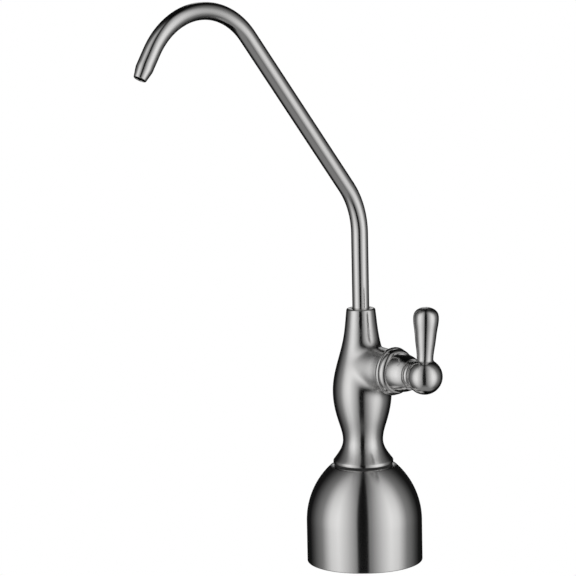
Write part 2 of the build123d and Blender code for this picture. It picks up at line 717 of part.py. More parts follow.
# Bonnet: bead, barrel and collar outside, stepped to clear the cartridge inside
bonnet_bead_end = port_reach + bonnet_bead_width
barrel_x = bonnet_bead_end + bonnet_cove_width
collar_x = bonnet_end - bonnet_collar_width
hex_room_radius = hex_corner_radius + 2 * seat_gap
bonnet_cove_radius = (bonnet_rim_radius + bonnet_foot_radius) / 2 - bonnet_cove_depth
bonnet_waist_radius = (bonnet_foot_radius + bonnet_nose_radius) / 2 + bonnet_bulge
with BuildPart() as bonnet:
    with BuildSketch(valve_plane):
        with BuildLine():
            bead = ThreePointArc(
                port_face,
                (port_reach + bonnet_bead_width / 2, bonnet_bead_radius),
                (bonnet_bead_end, bonnet_rim_radius),
            )
            cove = ThreePointArc(
                bead @ 1,
                (bonnet_bead_end + bonnet_cove_width / 2, bonnet_cove_radius),
                (barrel_x, bonnet_foot_radius),
            )
            barrel = ThreePointArc(
                cove @ 1,
                ((barrel_x + collar_x) / 2, bonnet_waist_radius),
                (collar_x, bonnet_nose_radius),
            )
            Line(barrel @ 1, (collar_x, bonnet_collar_root))
            collar = ThreePointArc(
                (collar_x, bonnet_collar_root),
                (collar_x + bonnet_collar_width / 2, bonnet_collar_radius),
                (bonnet_end, bonnet_collar_front),
            )
            Polyline(
                collar @ 1,
                (bonnet_end, spindle_radius + moving_gap),
                (clip_end + moving_gap, spindle_radius + moving_gap),
                (clip_end + moving_gap, clip_radius + moving_gap),
                (clip_x, clip_radius + moving_gap),
                (clip_x, cartridge_nose_radius + seat_gap),
                (hex_end + moving_gap, cartridge_nose_radius + seat_gap),
                (hex_end + moving_gap, hex_room_radius),
                (port_reach, hex_room_radius),
                bead @ 0,
            )
        make_face()
    revolve(axis=valve_axis)
bonnet.part.label = "bonnet"

# Lever ball: a ball with a flat back, a two-flat socket and a seat for the arm
arm_foot_radius = arm_base_radius + arm_cove
arm_seat_rise = math.sqrt(ball_radius**2 - arm_foot_radius**2)
stud_end_rise = spindle_flat_height + arm_stud_floor
stud_length = arm_seat_rise - stud_end_rise
with BuildPart() as lever_ball:
    with Locations((ball_x, 0, valve_height)):
        Sphere(ball_radius)
    split(bisect_by=Plane.YZ.offset(ball_back), keep=Keep.TOP)
    split(bisect_by=arm_seat_plane.offset(arm_seat_rise), keep=Keep.BOTTOM)
    back_rim = lever_ball.edges().filter_by(GeomType.CIRCLE).sort_by(Axis.X)[0]
    fillet(back_rim, edge_break)
    with BuildSketch(across_valve(ball_back - overrun)):
        Circle(spindle_radius + seat_gap)
        Rectangle(2 * ball_radius, 2 * (spindle_flat_height + seat_gap), mode=Mode.INTERSECT)
    extrude(amount=ball_bore_depth + overrun, mode=Mode.SUBTRACT)
    with BuildSketch(arm_seat_plane.offset(stud_end_rise - arm_stud_clear)):
        Circle(arm_stud_radius + seat_gap)
    extrude(amount=stud_length + arm_stud_clear + overrun, mode=Mode.SUBTRACT)
    with BuildSketch(Plane.XY.offset(valve_height - spindle_flat_height)):
        with Locations((ball_x, 0)):
            Circle(grub_screw_radius + seat_gap)
    extrude(amount=-ball_radius, mode=Mode.SUBTRACT)
lever_ball.part.label = "lever_ball"

# Lever arm: a slim waist that swells to a domed top, with a stud under it
with BuildPart() as lever_arm:
    with BuildSketch(arm_plane):
        with BuildLine():
            cove = RadiusArc(
                (arm_foot_radius, arm_seat_rise),
                (arm_base_radius, arm_seat_rise + arm_cove),
                -arm_cove,
            )
            swell = Spline(
                cove @ 1,
                (arm_middle_radius, arm_middle_rise),
                (arm_flank_radius, arm_flank_rise),
                (arm_shoulder_radius, arm_shoulder_rise),
                (arm_crown_radius, arm_crown_rise),
                (0, arm_height),
                tangents=((0, 1), (-1, 0)),
            )
            Polyline(
                swell @ 1,
                (0, stud_end_rise),
                (arm_stud_radius, stud_end_rise),
                (arm_stud_radius, arm_seat_rise),
                cove @ 0,
            )
        make_face()
    revolve(axis=arm_axis)
lever_arm.part.label = "lever_arm"

# Grub screw under the ball, tight on the spindle's flat
grub_top = valve_height - spindle_flat_height - seat_gap
grub_end = grub_top - grub_screw_length
with BuildPart() as lever_grub_screw:
    with BuildSketch(Plane.XY.offset(grub_end)):
        with Locations((ball_x, 0)):
            Circle(grub_screw_radius)
    extrude(amount=grub_screw_length)
    with BuildSketch(Plane.XY.offset(grub_end)):
        with Locations((ball_x, 0)):
            RegularPolygon(grub_socket_flats / 2, 6, major_radius=False)
    extrude(amount=grub_socket_depth, mode=Mode.SUBTRACT)
lever_grub_screw.part.label = "lever_grub_screw"

pieces = [
    base_bell,
    base_plate,
    deck_gasket,
    foot_gasket,
    tap_body,
    spout_tube,
    spout_ferrule,
    spout_o_rings,
    spout_snap_ring,
    threaded_shank,
    rubber_washer,
    steel_washer,
    lock_washer,
    lock_nut,
    cartridge_body,
    cartridge_o_ring,
    seat_seal,
    fixed_disc,
    moving_disc,
    thrust_washer,
    spindle,
    spindle_o_rings,
    spindle_clip,
    bonnet,
    lever_ball,
    lever_arm,
    lever_grub_screw,
]
os.makedirs("parts", exist_ok=True)
for piece in pieces:
    export_step(piece.part, f"parts/{piece.part.label}.step")
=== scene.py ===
"""Looks of a deck-mounted drinking water tap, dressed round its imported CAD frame."""

from __future__ import annotations

import logging
import math
from dataclasses import dataclass
from enum import Enum
from typing import Any, ClassVar, Sequence

import bmesh
import bpy
from mathutils import Matrix, Vector

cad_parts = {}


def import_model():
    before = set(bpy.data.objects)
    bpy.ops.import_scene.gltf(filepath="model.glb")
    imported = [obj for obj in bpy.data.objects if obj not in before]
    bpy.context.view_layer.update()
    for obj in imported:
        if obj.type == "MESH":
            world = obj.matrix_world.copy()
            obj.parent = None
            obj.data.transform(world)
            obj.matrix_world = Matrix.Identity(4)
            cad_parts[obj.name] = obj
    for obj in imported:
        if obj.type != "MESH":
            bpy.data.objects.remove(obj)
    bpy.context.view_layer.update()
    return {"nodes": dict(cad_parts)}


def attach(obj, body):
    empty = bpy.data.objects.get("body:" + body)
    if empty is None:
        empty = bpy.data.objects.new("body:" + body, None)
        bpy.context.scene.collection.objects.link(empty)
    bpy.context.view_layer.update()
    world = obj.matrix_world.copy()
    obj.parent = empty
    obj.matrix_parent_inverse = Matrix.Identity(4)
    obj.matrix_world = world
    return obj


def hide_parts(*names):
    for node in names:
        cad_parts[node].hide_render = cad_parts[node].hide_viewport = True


log = logging.getLogger("tap")

MM = 0.001
TURN = 2 * math.pi
WELD_DISTANCE = 0.5e-6
SHARP_ANGLE = math.radians(28)
QUARTER_TURN = 0.25
BEND_STEPS = 200
BEVEL_SAMPLES = 12
ACROSS = (1.0, 0.0, 0.0)

Point = tuple[float, float]
Triple = tuple[float, float, float]
Colour = tuple[float, float, float, float]
Stops = tuple[Point, ...]


class Wire:
    """An output socket of a node that Python's arithmetic works on."""

    def __init__(self, tree: NodeTree, socket: bpy.types.NodeSocket | None) -> None:
        """Keeps the socket and the tree that it belongs to."""
        self.tree = tree
        self.socket = socket

    def out(self, name: str) -> Wire:
        """Another output of the same node, by its name."""
        return Wire(self.tree, self.socket.node.outputs[name])

    def math(self, operation: str, *others: Any) -> Wire:
        """This value and others put through one Math node."""
        return self.tree.math(operation, self, *others)

    def __add__(self, other: Any) -> Wire:
        """Sum."""
        return self.tree.math("ADD", self, other)

    __radd__ = __add__

    def __sub__(self, other: Any) -> Wire:
        """Difference."""
        return self.tree.math("SUBTRACT", self, other)

    def __rsub__(self, other: Any) -> Wire:
        """Difference, the other way round."""
        return self.tree.math("SUBTRACT", other, self)

    def __mul__(self, other: Any) -> Wire:
        """Product."""
        return self.tree.math("MULTIPLY", self, other)

    __rmul__ = __mul__

    def __truediv__(self, other: Any) -> Wire:
        """Quotient."""
        return self.tree.math("DIVIDE", self, other)

    def __rtruediv__(self, other: Any) -> Wire:
        """Quotient, the other way round."""
        return self.tree.math("DIVIDE", other, self)


class NodeTree:
    """A shader, world or geometry tree, built by short calls."""

    def __init__(self, tree: bpy.types.NodeTree) -> None:
        """Empties the tree and keeps it."""
        tree.nodes.clear()
        self.tree = tree

    def add(
        self,
        kind: str,
        settings: dict[str, Any] | None = None,
        inputs: dict[int | str, Any] | None = None,
        output: int | str = 0,
    ) -> Wire:
        """Adds one node.

        Args:
            kind: Blender's type name of the node.
            settings: Properties, set first. "stops" are a ramp's places and levels.
            inputs: Values or wires, by the sockets' names or numbers.
            output: Which output to return.

        Returns:
            The wire that leaves the node.
        """
        node = self.tree.nodes.new(kind)
        for name, value in (settings or {}).items():
            if name == "stops":
                self._fill_ramp(node.color_ramp, value)
            else:
                setattr(node, name, value)
        for key, value in (inputs or {}).items():
            if isinstance(value, Wire):
                self.tree.links.new(value.socket, node.inputs[key])
            else:
                node.inputs[key].default_value = value
        return Wire(self, node.outputs[output] if len(node.outputs) else None)

    @staticmethod
    def _fill_ramp(ramp: bpy.types.ColorRamp, stops: Sequence[Point]) -> None:
        """Gives a ramp its places and grey levels.

        Args:
            ramp: A new ramp.
            stops: Its places, from 0 to 1, and their levels.
        """
        while len(ramp.elements) < len(stops):
            ramp.elements.new(0.5)
        for element, (place, level) in zip(ramp.elements, stops):
            element.position = place
            element.color = (level, level, level, 1.0)

    def math(self, operation: str, *values: Any) -> Wire:
        """One Math node on one, two or three values."""
        return self.add("ShaderNodeMath", {"operation": operation}, dict(enumerate(values)))

    def vector(self, operation: str, *values: Any, output: int | str = 0) -> Wire:
        """One Vector Math node."""
        inputs = dict(enumerate(values))
        return self.add("ShaderNodeVectorMath", {"operation": operation}, inputs, output)

    def scaled(self, vector: Any, amount: Any) -> Wire:
        """A vector times a number."""
        inputs = {0: vector, "Scale": amount}
        return self.add("ShaderNodeVectorMath", {"operation": "SCALE"}, inputs)

    def join(self, x: Any, y: Any, z: Any) -> Wire:
        """A vector from three numbers."""
        return self.add("ShaderNodeCombineXYZ", None, {"X": x, "Y": y, "Z": z})

    def split(self, vector: Wire) -> tuple[Wire, Wire, Wire]:
        """The three numbers of a vector."""
        x = self.add("ShaderNodeSeparateXYZ", None, {0: vector})
        return x, x.out("Y"), x.out("Z")

    def ramp(self, factor: Wire, stops: Stops) -> Wire:
        """A grey level read from a ramp."""
        return self.add("ShaderNodeValToRGB", {"stops": stops}, {"Fac": factor})

    def blend(self, factor: Any, first: Colour, second: Colour) -> Wire:
        """A colour between two colours."""
        inputs = {0: factor, 6: first, 7: second}
        return self.add("ShaderNodeMix", {"data_type": "RGBA"}, inputs, 2)

    def noise(self, at: Wire, scale: float, detail: float = 2.0, grit: float = 0.5) -> Wire:
        """A cloudy pattern of levels from 0 to 1."""
        inputs = {"Vector": at, "Scale": scale, "Detail": detail, "Roughness": grit}
        return self.add("ShaderNodeTexNoise", None, inputs)

    def glow(self, strength: float = 1.0) -> Wire:
        """A shader that gives out white light."""
        return self.add("ShaderNodeEmission", None, {"Color": WHITE, "Strength": strength})

    def mix(self, factor: Wire, first: Wire, second: Wire) -> Wire:
        """A shader between two shaders."""
        return self.add("ShaderNodeMixShader", None, {0: factor, 1: first, 2: second})

    def end(self, surface: Wire, kind: str = "ShaderNodeOutputMaterial") -> None:
        """Sends a shader to the tree's output."""
        self.add(kind, None, {"Surface": surface})


class Brushing(Enum):
    """Which way the polishing lines of a metal run: their sizes along X, Y and Z in metres."""

    ROUND_UPRIGHT = (0.012, 0.012, 0.00016)
    ROUND_VALVE = (0.00016, 0.012, 0.012)
    ALONG_TUBE = (0.00022, 0.00022, 0.03)


def grey(level: float, warmth: float = 0.0) -> Colour:
    """A neutral colour, with a little warmth if wanted."""
    return (level * (1 + warmth), level, level * (1 - warmth), 1.0)


def shaded(colour: Colour, factor: float) -> Colour:
    """A colour made darker or lighter, no lighter than white."""
    red, green, blue = (min(1.0, channel * factor) for channel in colour[:3])
    return (red, green, blue, 1.0)


WHITE = grey(1.0)


def new_material(name: str) -> tuple[bpy.types.Material, NodeTree]:
    """Makes an empty node material.

    Args:
        name: Its name.

    Returns:
        The material and its tree.
    """
    made = bpy.data.materials.new(name)
    made.use_nodes = True
    return made, NodeTree(made.node_tree)


@dataclass(frozen=True)
class Metal:
    """A polished or plated metal with fine lines in its surface."""

    name: str
    colour: Colour
    roughness: float
    brushing: Brushing
    line_depth: float = 0.6e-6
    line_shade: float = 0.06
    line_roughness: float = 0.05
    line_detail: float = 3.0
    line_grit: float = 0.55
    cloud_size: float = 0.02
    cloud_shade: float = 0.03
    widest_shade: float = 0.1
    smear: float = 0.0
    root_round: float = 0.0

    # Where the port's root is, out from the body's axis and up or down from the
    # port's, in shares of the port's reach.
    ROOT_OUT: ClassVar[Stops] = ((0.66, 1.0), (0.84, 0.0))
    ROOT_UP: ClassVar[Stops] = ((0.8, 1.0), (0.95, 0.0))

    def softened(self, tree: NodeTree, place: Wire) -> Wire:
        """Rounds the surface's direction where the port leaves the body, as in cast metal.

        Args:
            tree: The material's tree.
            place: Where the surface is.

        Returns:
            The direction.
        """
        x, _, z = tree.split(place)
        reach, axis = Stack.port_reach * MM, Stack.valve_height * MM
        out, up = (x / reach).math("MAXIMUM", 0.0), ((z - axis) / reach).math("ABSOLUTE")
        here = tree.ramp(out, self.ROOT_OUT) * tree.ramp(up, self.ROOT_UP)
        flat = tree.add("ShaderNodeNewGeometry", output="Normal")
        rounding = {"Radius": self.root_round}
        rounded = tree.add("ShaderNodeBevel", {"samples": BEVEL_SAMPLES}, rounding)
        between = {0: here, 4: flat, 5: rounded}
        mixed = tree.add("ShaderNodeMix", {"data_type": "VECTOR"}, between, 1)
        return tree.vector("NORMALIZE", mixed)

    def material(self) -> bpy.types.Material:
        """Builds the material.

        Returns:
            A node material with lines, clouds and a bump.
        """
        made, tree = new_material(self.name)
        place = tree.add("ShaderNodeTexCoord", output="Object")
        lined = place
        if self.brushing is Brushing.ALONG_TUBE:
            around, along, _ = tree.split(tree.add("ShaderNodeUVMap", {"uv_map": "UVMap"}))
            angle, radius = around * TURN, SpoutTube.radius * MM
            lined = tree.join(angle.math("COSINE") * radius, angle.math("SINE") * radius, along)
        lined = tree.vector("DIVIDE", lined, self.brushing.value)
        lines = tree.noise(lined, 1.0, self.line_detail, self.line_grit)
        clouds = tree.noise(place, 1 / self.cloud_size)
        shade = 1 + (lines - 0.5) * self.line_shade + (clouds - 0.5) * self.cloud_shade
        darkest, lightest = 1 - self.widest_shade, 1 + self.widest_shade
        along_shades = (shade - darkest) * (0.5 / self.widest_shade)
        dark, light = shaded(self.colour, darkest), shaded(self.colour, lightest)
        relief = {"Strength": 1.0, "Distance": self.line_depth, "Height": lines}
        if self.root_round:
            relief["Normal"] = self.softened(tree, place)
        surface = {
            "Base Color": tree.blend(along_shades, dark, light),
            "Metallic": 1.0,
            "Roughness": self.roughness + (lines - 0.5) * self.line_roughness,
            "Anisotropic": self.smear,
            "Anisotropic Rotation": QUARTER_TURN,
            "Normal": tree.add("ShaderNodeBump", None, relief, "Normal"),
        }
        tree.end(tree.add("ShaderNodeBsdfPrincipled", None, surface))
        return made


@dataclass(frozen=True)
class Moulded:
    """A rubber, plastic or ceramic with a fine grain."""

    name: str
    colour: Colour
    roughness: float
    grain_size: float = 0.0004
    grain_depth: float = 4e-6
    speckle: float = 0.15
    grain_share: float = 0.6
    patch_scale: float = 0.05
    patch_roughness: float = 0.2

    def material(self) -> bpy.types.Material:
        """Builds the material.

        Returns:
            A node material with a grained colour, gloss and bump.
        """
        made, tree = new_material(self.name)
        place = tree.add("ShaderNodeTexCoord", output="Object")
        grain = tree.noise(place, 1 / self.grain_size)
        patches = tree.noise(place, self.patch_scale / self.grain_size)
        dark, light = shaded(self.colour, 1 - self.speckle), shaded(self.colour, 1 + self.speckle)
        mottle = grain * self.grain_share + patches * (1 - self.grain_share)
        relief = {"Strength": 1.0, "Distance": self.grain_depth, "Height": grain}
        surface = {
            "Base Color": tree.blend(mottle, dark, light),
            "Roughness": self.roughness + (patches - 0.5) * self.patch_roughness,
            "Normal": tree.add("ShaderNodeBump", None, relief, "Normal"),
        }
        tree.end(tree.add("ShaderNodeBsdfPrincipled", None, surface))
        return made


class Slot(Enum):
    """The record's material slots of the pieces that are built here."""

    NICKEL = "brushed_nickel"
    PLATED = "plated_shank"


NICKEL = grey(0.66, 0.008)
BRASS = (0.72, 0.5, 0.2, 1.0)
CERAMIC = (0.86, 0.85, 0.8, 1.0)
BODY_ROUGHNESS = 0.2
TRIM_ROUGHNESS = 0.15
BRASS_ROUGHNESS = 0.24
BODY_SMEAR = 0.9
UPRIGHT, VALVE = Brushing.ROUND_UPRIGHT, Brushing.ROUND_VALVE
FINISHES: dict[str, Metal | Moulded] = {
    finish.name: finish
    for finish in (
        Metal("nickel_upright", NICKEL, BODY_ROUGHNESS, UPRIGHT, smear=BODY_SMEAR),
        Metal("nickel_body", NICKEL, BODY_ROUGHNESS, UPRIGHT, smear=BODY_SMEAR, root_round=0.006),
        Metal("nickel_valve", NICKEL, TRIM_ROUGHNESS, VALVE),
        Metal("nickel_tube", NICKEL, TRIM_ROUGHNESS, Brushing.ALONG_TUBE),
        Metal("plated", grey(0.72, -0.01), 0.14, UPRIGHT),
        Metal("stainless", grey(0.58, -0.005), 0.27, UPRIGHT, line_shade=0.12),
        Metal("brass_upright", BRASS, BRASS_ROUGHNESS, UPRIGHT),
        Metal("brass_valve", BRASS, BRASS_ROUGHNESS, VALVE),
        Moulded("rubber", grey(0.022), 0.62),
        Moulded("ceramic", CERAMIC, 0.18, grain_size=0.0006, grain_depth=1e-6, speckle=0.05),
        Moulded("nylon", grey(0.05), 0.5, grain_size=0.0008, grain_depth=6e-6, speckle=0.2),
    )
}


class Finishes:
    """Materials made once each, by name."""

    _made: ClassVar[dict[str, bpy.types.Material]] = {}

    @classmethod
    def get(cls, name: str) -> bpy.types.Material:
        """Gives a material, made the first time that it is asked for.

        Args:
            name: Name of the finish.

        Returns:
            The material.
        """
        if name not in cls._made:
            cls._made[name] = FINISHES[name].material()
        return cls._made[name]


class Outline:
    """A closed outline in stations and radii, whose corners can be rounded."""

    def __init__(self) -> None:
        """Starts with no points."""
        self.points: list[Triple] = []

    def to(self, *points: Sequence[float]) -> Outline:
        """Adds points.

        Args:
            points: Each with the radius of its corner as an optional third number.

        Returns:
            The outline itself.
        """
        for point in points:
            self.points.append((point[0], point[1], point[2] if len(point) > 2 else 0.0))
        return self

    def arc(self, middle: Point, end: Sequence[float], steps: int) -> Outline:
        """Adds an arc from the last point through a middle point.

        Args:
            middle: A point on the arc.
            end: Where it ends, with a corner radius as an optional third number.
            steps: How many sides the arc gets.

        Returns:
            The outline itself.
        """
        ax, ay = self.points[-1][:2]
        bx, by = middle
        cx, cy = end[:2]
        twice = 2 * (ax * (by - cy) + bx * (cy - ay) + cx * (ay - by))
        a2, b2, c2 = ax * ax + ay * ay, bx * bx + by * by, cx * cx + cy * cy
        ux = (a2 * (by - cy) + b2 * (cy - ay) + c2 * (ay - by)) / twice
        uy = (a2 * (cx - bx) + b2 * (ax - cx) + c2 * (bx - ax)) / twice
        radius = math.hypot(ax - ux, ay - uy)
        start = math.atan2(ay - uy, ax - ux)
        sign = 1 if (bx - ax) * (cy - by) - (by - ay) * (cx - bx) > 0 else -1
        sweep = (math.atan2(cy - uy, cx - ux) - start) * sign % TURN * sign
        for step in range(1, steps):
            angle = start + sweep * step / steps
            self.to((ux + radius * math.cos(angle), uy + radius * math.sin(angle)))
        return self.to(end)

    def bend(
        self, start_angle: float, radius: float, sweep: float, steps: int, corner: float = 0.0
    ) -> Outline:
        """Adds an arc that leaves the last point in a given direction.

        Args:
            start_angle: Direction of travel at the start, in radians.
            radius: Radius of the arc.
            sweep: Turn in radians, positive to the left.
            steps: How many sides the arc gets.
            corner: Rounding at its far end.

        Returns:
            The outline itself.
        """
        x, y = self.points[-1][:2]
        arm = math.copysign(1, sweep) * radius
        cx, cy = x - arm * math.sin(start_angle), y + arm * math.cos(start_angle)
        for step in range(1, steps + 1):
            angle = start_angle + sweep * step / steps
            end = (cx + arm * math.sin(angle), cy - arm * math.cos(angle))
            self.to((*end, corner if step == steps else 0.0))
        return self

    def finished(self, corner_steps: int = 6) -> list[Point]:
        """Rounds the corners.

        Args:
            corner_steps: How many sides a rounded corner gets.

        Returns:
            The outline's points, with the first repeated as the last.
        """
        count = len(self.points)
        flat = [Vector(point[:2]) for point in self.points]
        drop: set[int] = set()
        rounds: dict[int, list[Point]] = {}
        for index, (_, _, radius) in enumerate(self.points):
            if not radius:
                continue
            into = (flat[index] - flat[index - 1]).normalized()
            away = (flat[(index + 1) % count] - flat[index]).normalized()
            turn = into.angle(away)
            cut = radius * math.tan(turn / 2)
            first, first_way = self._walk(flat, index, -1, cut, drop)
            last, last_way = self._walk(flat, index, 1, cut, drop)
            reach = 4 / 3 * math.tan(turn / 4) * radius
            a, b, c, d = first, first - first_way * reach, last - last_way * reach, last
            rounds[index] = []
            for step in range(corner_steps + 1):
                t = step / corner_steps
                s = 1 - t
                spot = a * s**3 + b * (3 * t * s**2) + c * (3 * t * t * s) + d * t**3
                rounds[index].append((spot.x, spot.y))
        made: list[Point] = []
        for index, point in enumerate(flat):
            if index in rounds:
                made.extend(rounds[index])
            elif index not in drop:
                made.append((point.x, point.y))
        return [*made, made[0]]

    @staticmethod
    def _walk(
        flat: list[Vector], index: int, way: int, length: float, drop: set[int]
    ) -> tuple[Vector, Vector]:
        """Walks along the outline from a corner.

        Args:
            flat: The outline's points.
            index: Number of the corner.
            way: -1 for backwards, 1 for forwards.
            length: How far to walk.
            drop: Gets the numbers of the points that were passed.

        Returns:
            The place reached, and the direction there, away from the corner.
        """
        here, at = flat[index], index
        while True:
            following = (at + way) % len(flat)
            step = flat[following] - here
            if step.length >= length:
                heading = step.normalized()
                return here + heading * length, heading
            length -= step.length
            here, at = flat[following], following
            drop.add(at)


def through(points: Sequence[Point], start: Point, end: Point, steps: int) -> list[Point]:
    """A smooth curve through points, with the same bend on both sides of each.

    Args:
        points: Places that the curve passes.
        start: Its heading at the first place, of length one.
        end: Its heading at the last place.
        steps: How many sides each run between two places gets.

    Returns:
        Points along the curve.
    """
    spots = [Vector(point) for point in points]
    runs = [(after - before).length for before, after in zip(spots, spots[1:])]
    count = len(spots)
    pull, upper = [Vector(start)] * count, [0.0] * count
    for k in range(1, count - 1):
        before, after = runs[k - 1], runs[k]
        behind, ahead = spots[k] - spots[k - 1], spots[k + 1] - spots[k]
        target = 3 * (behind * after / before + ahead * before / after)
        weight = 2 * (before + after) - after * upper[k - 1]
        upper[k] = before / weight
        pull[k] = (target - after * pull[k - 1]) / weight
    slopes = [Vector(end)] * count
    slopes[0] = Vector(start)
    for k in range(count - 2, 0, -1):
        slopes[k] = pull[k] - upper[k] * slopes[k + 1]
    made = [tuple(spots[0])]
    for k, run in enumerate(runs):
        for step in range(1, steps + 1):
            t = step / steps
            spot = (
                spots[k] * (1 + 2 * t) * (1 - t) ** 2
                + slopes[k] * run * t * (1 - t) ** 2
                + spots[k + 1] * t * t * (3 - 2 * t)
                + slopes[k + 1] * run * t * t * (t - 1)
            )
            made.append(tuple(spot))
    return made


class Form(Enum):
    """What a Geometry Nodes tree makes of an outline."""

    TURNED = "turned_outline"
    BENT = "bent_outline"
    THREADED = "threaded_outline"


class TurningTree:
    """A Geometry Nodes tree that carries an outline round an axis or along a route."""

    _shared: ClassVar[dict[Form, bpy.types.NodeTree]] = {}

    INPUTS: ClassVar[tuple[tuple[str, str], ...]] = (
        ("Outline", "NodeSocketGeometry"),
        ("Stations", "NodeSocketInt"),
        ("Sides", "NodeSocketInt"),
        ("Turn", "NodeSocketRotation"),
        ("Place", "NodeSocketVector"),
        ("Finish", "NodeSocketMaterial"),
        ("Lower bend", "NodeSocketFloat"),
        ("Arch", "NodeSocketFloat"),
        ("Route", "NodeSocketObject"),
        ("First thread", "NodeSocketInt"),
        ("Last thread", "NodeSocketInt"),
        ("Pitch", "NodeSocketFloat"),
        ("Depth", "NodeSocketFloat"),
        ("Low end", "NodeSocketFloat"),
        ("High end", "NodeSocketFloat"),
        ("Bevel", "NodeSocketFloat"),
    )

    @classmethod
    def tree(cls, form: Form) -> bpy.types.NodeTree:
        """Gives the tree for a form, built the first time that it is asked for.

        Args:
            form: What the tree makes of an outline.

        Returns:
            The node tree.
        """
        if form not in cls._shared:
            cls._shared[form] = cls._build(form)
        return cls._shared[form]

    @classmethod
    def _build(cls, form: Form) -> bpy.types.NodeTree:
        """Builds the tree.

        Args:
            form: Whether the piece is turned, bent along a route or threaded.

        Returns:
            The node tree.
        """
        group = bpy.data.node_groups.new(form.value, "GeometryNodeTree")
        for name, kind in cls.INPUTS:
            group.interface.new_socket(name, in_out="INPUT", socket_type=kind)
        group.interface.new_socket("Geometry", in_out="OUTPUT", socket_type="NodeSocketGeometry")
        tree = NodeTree(group)
        given = tree.add("NodeGroupInput")
        stations, sides = given.out("Stations"), given.out("Sides")
        grid = tree.add(
            "GeometryNodeMeshGrid",
            None,
            {"Size X": 1.0, "Size Y": 1.0, "Vertices X": stations, "Vertices Y": sides + 1},
        )
        across, around, _ = tree.split(tree.add("GeometryNodeInputPosition"))
        station = ((across + 0.5) * (stations - 1)).math("ROUND")
        angle = (around + 0.5) * TURN
        spot = tree.add(
            "GeometryNodeSampleIndex",
            {"data_type": "FLOAT_VECTOR", "domain": "POINT"},
            {"Geometry": given, "Value": tree.add("GeometryNodeInputPosition"), "Index": station},
        )
        length, radius, run = tree.split(spot)
        if form is Form.THREADED:
            length, radius = cls._thread(tree, given, station, length, radius, around + 0.5)
        uv = tree.join(around + 0.5, run, 0.0)
        kept = tree.add(
            "GeometryNodeStoreNamedAttribute",
            {"data_type": "FLOAT2", "domain": "CORNER"},
            {"Geometry": grid, "Name": "UVMap", "Value": uv},
        )
        side_x, side_y = radius * angle.math("COSINE"), radius * angle.math("SINE")
        if form is Form.BENT:
            target = cls._on_route(tree, given, length, side_x, side_y)
        else:
            target = tree.join(side_x, side_y, length)
        shaped = tree.add("GeometryNodeSetPosition", None, {"Geometry": kept, "Position": target})
        placed = tree.add(
            "GeometryNodeTransform",
            None,
            {"Geometry": shaped, "Rotation": given.out("Turn"), "Translation": given.out("Place")},
        )
        nearby = {"Geometry": placed, "Distance": WELD_DISTANCE}
        welded = tree.add("GeometryNodeMergeByDistance", None, nearby)
        real = tree.add("GeometryNodeRealizeInstances", None, {"Geometry": welded})
        finish = {"Geometry": real, "Material": given.out("Finish")}
        done = tree.add("GeometryNodeSetMaterial", None, finish)
        tree.add("NodeGroupOutput", None, {"Geometry": done})
        return group

    @staticmethod
    def _thread(
        tree: NodeTree, given: Wire, station: Wire, length: Wire, radius: Wire, share: Wire
    ) -> tuple[Wire, Wire]:
        """Makes the outline's threaded rows climb round the piece.

        Args:
            tree: The tree that is built.
            given: The tree's inputs.
            station: Number of the outline's point.
            length: Its place along the axis.
            radius: Its radius.
            share: Part of the turn, from 0 to 1.

        Returns:
            Length and radius of the threaded surface.
        """
        pitch, depth = given.out("Pitch"), given.out("Depth")
        low, high = given.out("Low end"), given.out("High end")
        after = station.math("GREATER_THAN", given.out("First thread") - 0.5)
        threaded = after * station.math("LESS_THAN", given.out("Last thread") + 0.5)
        climbed = (length + share * pitch).math("MAXIMUM", low).math("MINIMUM", high)
        phase = ((climbed - low) / pitch - share).math("FRACT")
        # Crest, root and both flanks each take up a quarter of the pitch.
        slope = (phase * 2 - 1).math("ABSOLUTE") * 2 - 0.5
        crest = slope.math("MAXIMUM", 0.0).math("MINIMUM", 1.0)
        bevelled = (climbed - low).math("MINIMUM", high - climbed) + radius - given.out("Bevel")
        cut = (radius - depth * (1 - crest)).math("MINIMUM", bevelled)
        return length + (climbed - length) * threaded, radius + (cut - radius) * threaded

    @staticmethod
    def _on_route(tree: NodeTree, given: Wire, length: Wire, side_x: Wire, side_y: Wire) -> Wire:
        """Works out places beside a route whose two inner corners are bent round.

        Args:
            tree: The tree that is built.
            given: The tree's inputs.
            length: How far along the route.
            side_x: How far out along the X axis.
            side_y: How far out in the plane of the route.

        Returns:
            The places as a vector.
        """
        route = tree.add(
            "GeometryNodeObjectInfo",
            {"transform_space": "ORIGINAL"},
            {"Object": given.out("Route")},
            "Geometry",
        )
        line = tree.add("GeometryNodeMeshToCurve", None, {"Mesh": route})
        corner = tree.add("GeometryNodeInputIndex")
        at_arch = tree.add(
            "FunctionNodeCompare",
            {"data_type": "INT", "operation": "GREATER_THAN"},
            {"A": corner, "B": 1},
        )
        radius = tree.add(
            "GeometryNodeSwitch",
            {"input_type": "FLOAT"},
            {"Switch": at_arch, "False": given.out("Lower bend"), "True": given.out("Arch")},
        )
        bent = tree.add(
            "GeometryNodeFilletCurve",
            {"mode": "POLY"},
            {"Curve": line, "Radius": radius, "Count": BEND_STEPS},
        )
        here = tree.add(
            "GeometryNodeSampleCurve",
            {"mode": "LENGTH", "use_all_curves": True, "data_type": "FLOAT"},
            {"Curves": bent, "Length": length},
            "Position",
        )
        heading = tree.vector("NORMALIZE", here.out("Tangent"))
        beside = tree.scaled(tree.vector("CROSS_PRODUCT", heading, ACROSS), side_y)
        return tree.vector("ADD", here, tree.vector("ADD", tree.scaled(ACROSS, side_x), beside))


def linked(name: str, data: bpy.types.ID) -> bpy.types.Object:
    """Makes an object and links it to the scene.

    Args:
        name: Its name.
        data: Its mesh or camera.

    Returns:
        The object.
    """
    made = bpy.data.objects.new(name, data)
    bpy.context.scene.collection.objects.link(made)
    return made


